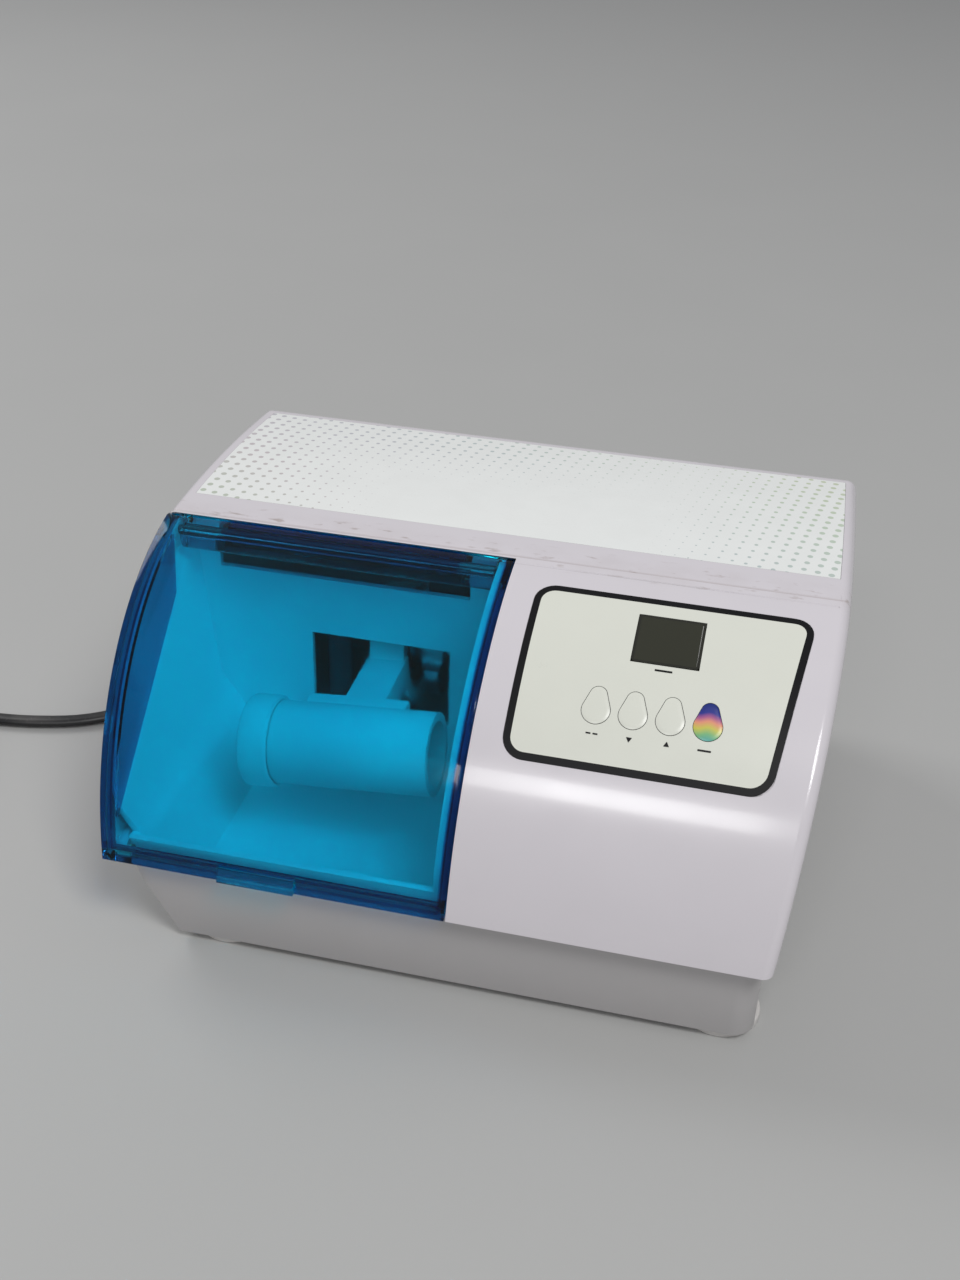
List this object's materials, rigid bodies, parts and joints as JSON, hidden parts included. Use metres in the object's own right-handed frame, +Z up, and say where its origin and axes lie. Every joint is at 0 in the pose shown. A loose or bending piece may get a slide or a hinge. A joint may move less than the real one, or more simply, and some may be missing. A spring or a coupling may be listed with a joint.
{
  "type": "dental amalgamator",
  "caption": "Tabletop capsule mixer: low white housing with a curved front, clear blue hinged lid over a mixing chamber, control panel with display and keys, and a mains cord.",
  "frame": {"origin": "middle of the device's underside, on the counter, measured without the cord, coil, tie and plug", "axes": "+X to the user's right, -Y towards the user, +Z up"},
  "size_m": [0.4528, 0.2921, 0.1172],
  "materials": {
    "cover_plastic": "white moulded plastic, soft sheen",
    "tub_plastic": "white, smooth",
    "lid_plastic": "clear blue, polished",
    "tube_plastic": "clear, faintly blue",
    "clear_rubber": "translucent",
    "label": "printed film",
    "overlay": "printed membrane film",
    "start_key": "printed membrane film",
    "lcd": "dark display glass",
    "circuit_board": "solder mask",
    "black_plastic": "moulded",
    "grey_plastic": "moulded",
    "can": "sleeved",
    "laminate": "varnished laminations",
    "copper": "copper",
    "steel": "plain",
    "cast_alloy": "cast",
    "rubber": "satin"
  },
  "bodies": {
    "housing": {"base_tray": "cover_plastic", "feet": "clear_rubber", "foot_screws": "steel", "housing_screws": "steel", "upper_cover": "cover_plastic", "top_label": "label", "mixing_chamber": "tub_plastic", "hinge_pin": "steel", "reed_switch": "black_plastic", "control_overlay": "overlay", "lcd_module": "lcd", "display_board": "circuit_board", "tact_switches": "black_plastic", "ribbon_cable": "grey_plastic", "main_board": "circuit_board", "standoffs": "steel", "transformer": "laminate", "capacitors": "can", "fuse": "grey_plastic", "motor_bracket": "steel", "rubber_mounts": "rubber", "motor_end_bells": "cast_alloy", "stator_core": "laminate", "stator_windings": "copper", "carbon_brushes": "black_plastic", "shaft_bearings": "steel", "bearing_block": "cast_alloy", "spring_post": "steel", "switch_body": "black_plastic", "strain_relief": "rubber", "cord_run": "rubber", "cord_coil": "rubber", "cord_tie": "black_plastic", "mains_plug": "rubber", "plug_pins": "steel"},
    "lid": {"lid": "lid_plastic", "lid_magnet": "steel"},
    "rotor": {"motor_shaft": "steel", "rotor_core": "laminate", "commutator": "copper", "cooling_fan": "black_plastic", "wobble_sleeve": "steel", "wobble_inner_ring": "steel"},
    "arm": {"wobble_outer_ring": "steel", "bearing_balls": "steel", "mixing_arm": "cast_alloy", "restraint_spring": "steel", "holder_tube": "tube_plastic", "clamp_screws": "steel"},
    "cap": {"holder_cap": "tube_plastic"},
    "liner": {"cap_liner": "tub_plastic"},
    "key_mode": {"key_mode": "overlay"},
    "key_down": {"key_down": "overlay"},
    "key_up": {"key_up": "overlay"},
    "key_start": {"key_start": "start_key"},
    "rocker": {"power_rocker": "black_plastic"}
  },
  "joints": [
    {"name": "lid_hinge", "type": "hinge", "parent": "housing", "child": "lid", "pos_m": [-0.05, -0.00859, 0.10926], "axis": [-1, 0, 0], "range_deg": [0, 48]},
    {"name": "shaft_turn", "type": "hinge", "parent": "housing", "child": "rotor", "pos_m": [-0.042, 0.02741, 0.054], "axis": [1, 0, 0], "continuous": true},
    {"name": "arm_swing", "type": "hinge", "parent": "housing", "child": "arm", "pos_m": [-0.042, 0.02741, 0.054], "axis": [0, 0, 1], "range_deg": [-6, 6], "stiffness_Nm_per_rad": 2},
    {"name": "cap_turn", "type": "hinge", "parent": "liner", "child": "cap", "pos_m": [-0.042, -0.04459, 0.054], "axis": [0.9962, 0, 0.0872], "range_deg": [0, 720]},
    {"name": "liner_slide", "type": "slide", "parent": "arm", "child": "liner", "axis": [-0.9962, 0, -0.0872], "range_m": [0, 0.006]},
    {"name": "press_mode", "type": "slide", "parent": "housing", "child": "key_mode", "axis": [0, 0.5948, -0.8039], "range_m": [0, 0.0004], "stiffness_N_per_m": 2000},
    {"name": "press_down", "type": "slide", "parent": "housing", "child": "key_down", "axis": [0, 0.5948, -0.8039], "range_m": [0, 0.0004], "stiffness_N_per_m": 2000},
    {"name": "press_up", "type": "slide", "parent": "housing", "child": "key_up", "axis": [0, 0.5948, -0.8039], "range_m": [0, 0.0004], "stiffness_N_per_m": 2000},
    {"name": "press_start", "type": "slide", "parent": "housing", "child": "key_start", "axis": [0, 0.5948, -0.8039], "range_m": [0, 0.0004], "stiffness_N_per_m": 2000},
    {"name": "rocker_tip", "type": "hinge", "parent": "housing", "child": "rocker", "pos_m": [0.06, 0.09541, 0.062], "axis": [1, 0, 0], "range_deg": [-14, 0]}
  ],
  "couplings": [
    {"joint": "liner_slide", "follows": "cap_turn", "m_per_rad": 0.00047746}
  ]
}
